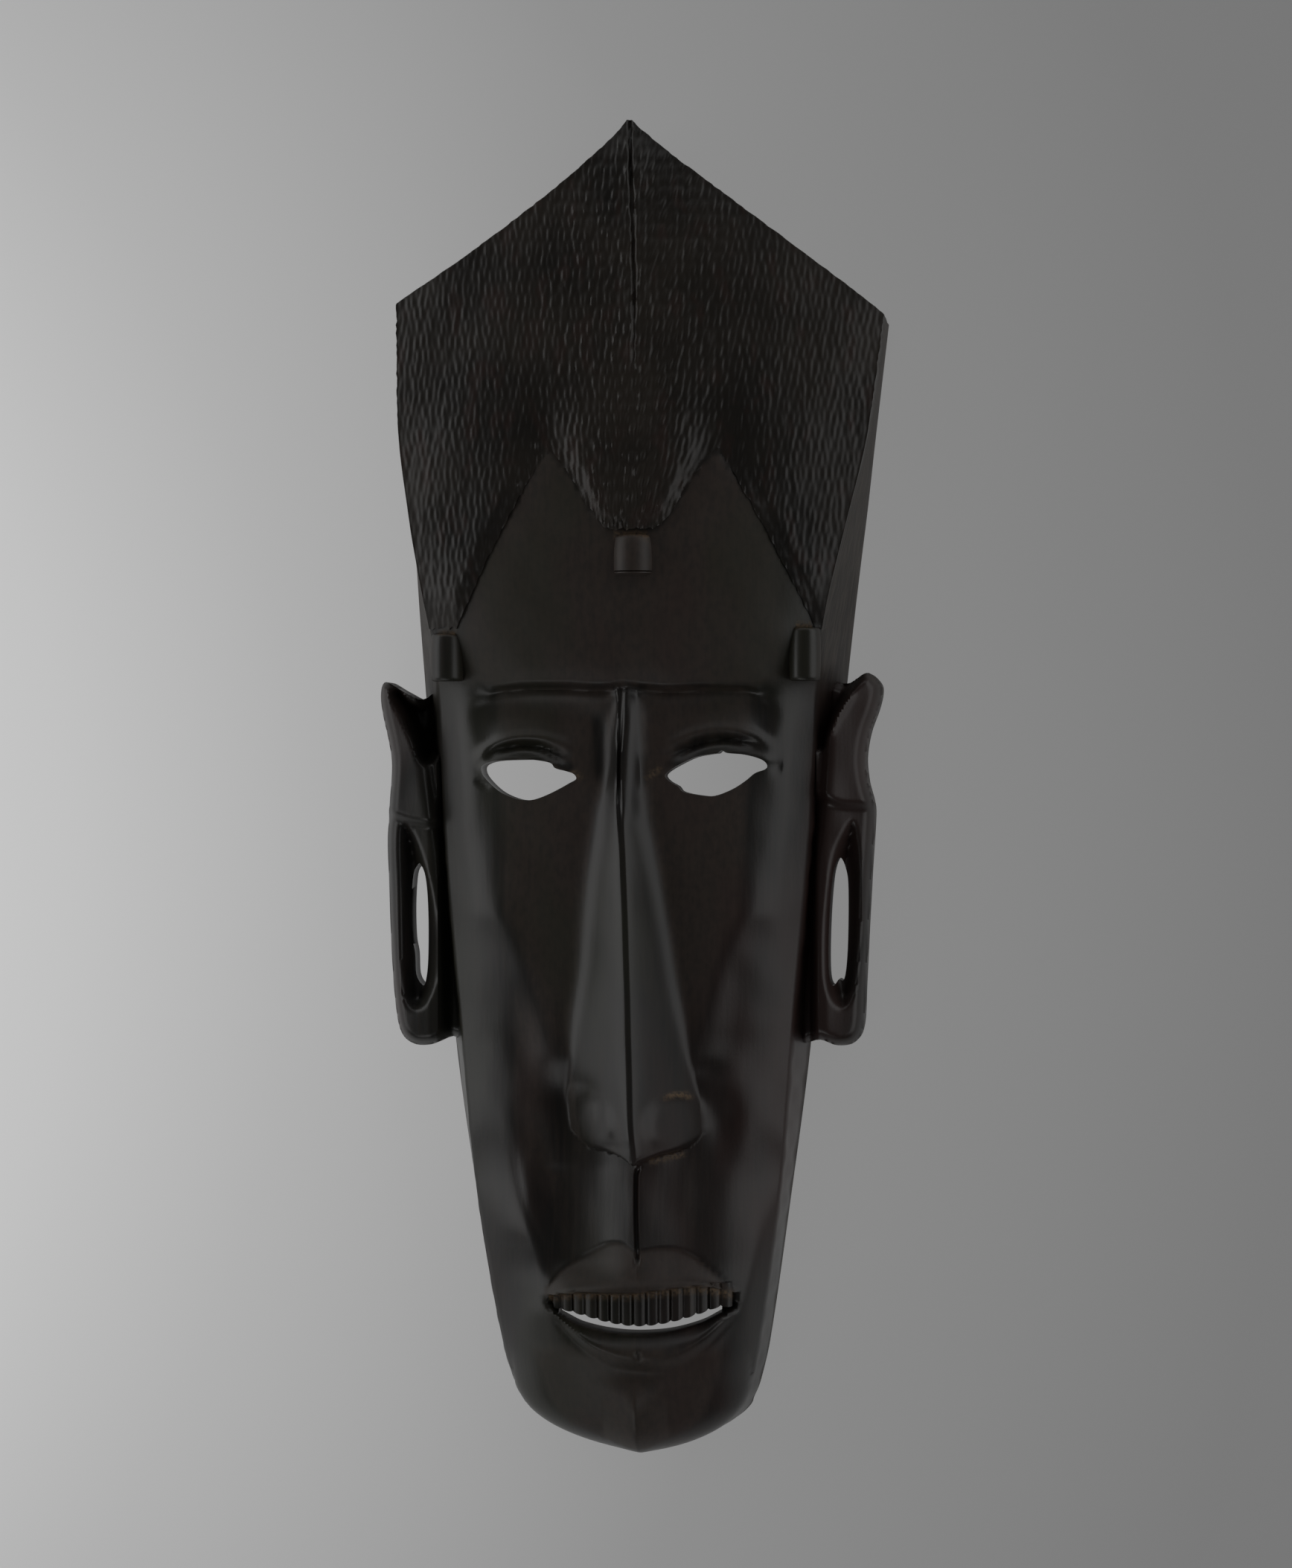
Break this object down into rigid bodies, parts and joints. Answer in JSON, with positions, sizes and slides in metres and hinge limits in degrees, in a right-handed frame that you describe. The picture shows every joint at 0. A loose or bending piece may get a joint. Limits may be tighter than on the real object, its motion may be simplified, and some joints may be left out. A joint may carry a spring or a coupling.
{
  "type": "carved wooden wall mask",
  "caption": "Long carved ebony mask with a pointed crown of hair, slit eyes, looped ears and a hollow back, lying face up.",
  "frame": {"origin": "on the ground plane under the middle of the whole mask as it lies on its back", "axes": "+X to the right of the face as seen from the front, +Y from the chin to the crown, +Z out of the face"},
  "size_m": [0.1914, 0.5006, 0.0751],
  "materials": {
    "ebony": "hand-rubbed dark ebony, hair and hollows left matt"
  },
  "bodies": {
    "root": {"mask": "ebony"}
  },
  "joints": []
}
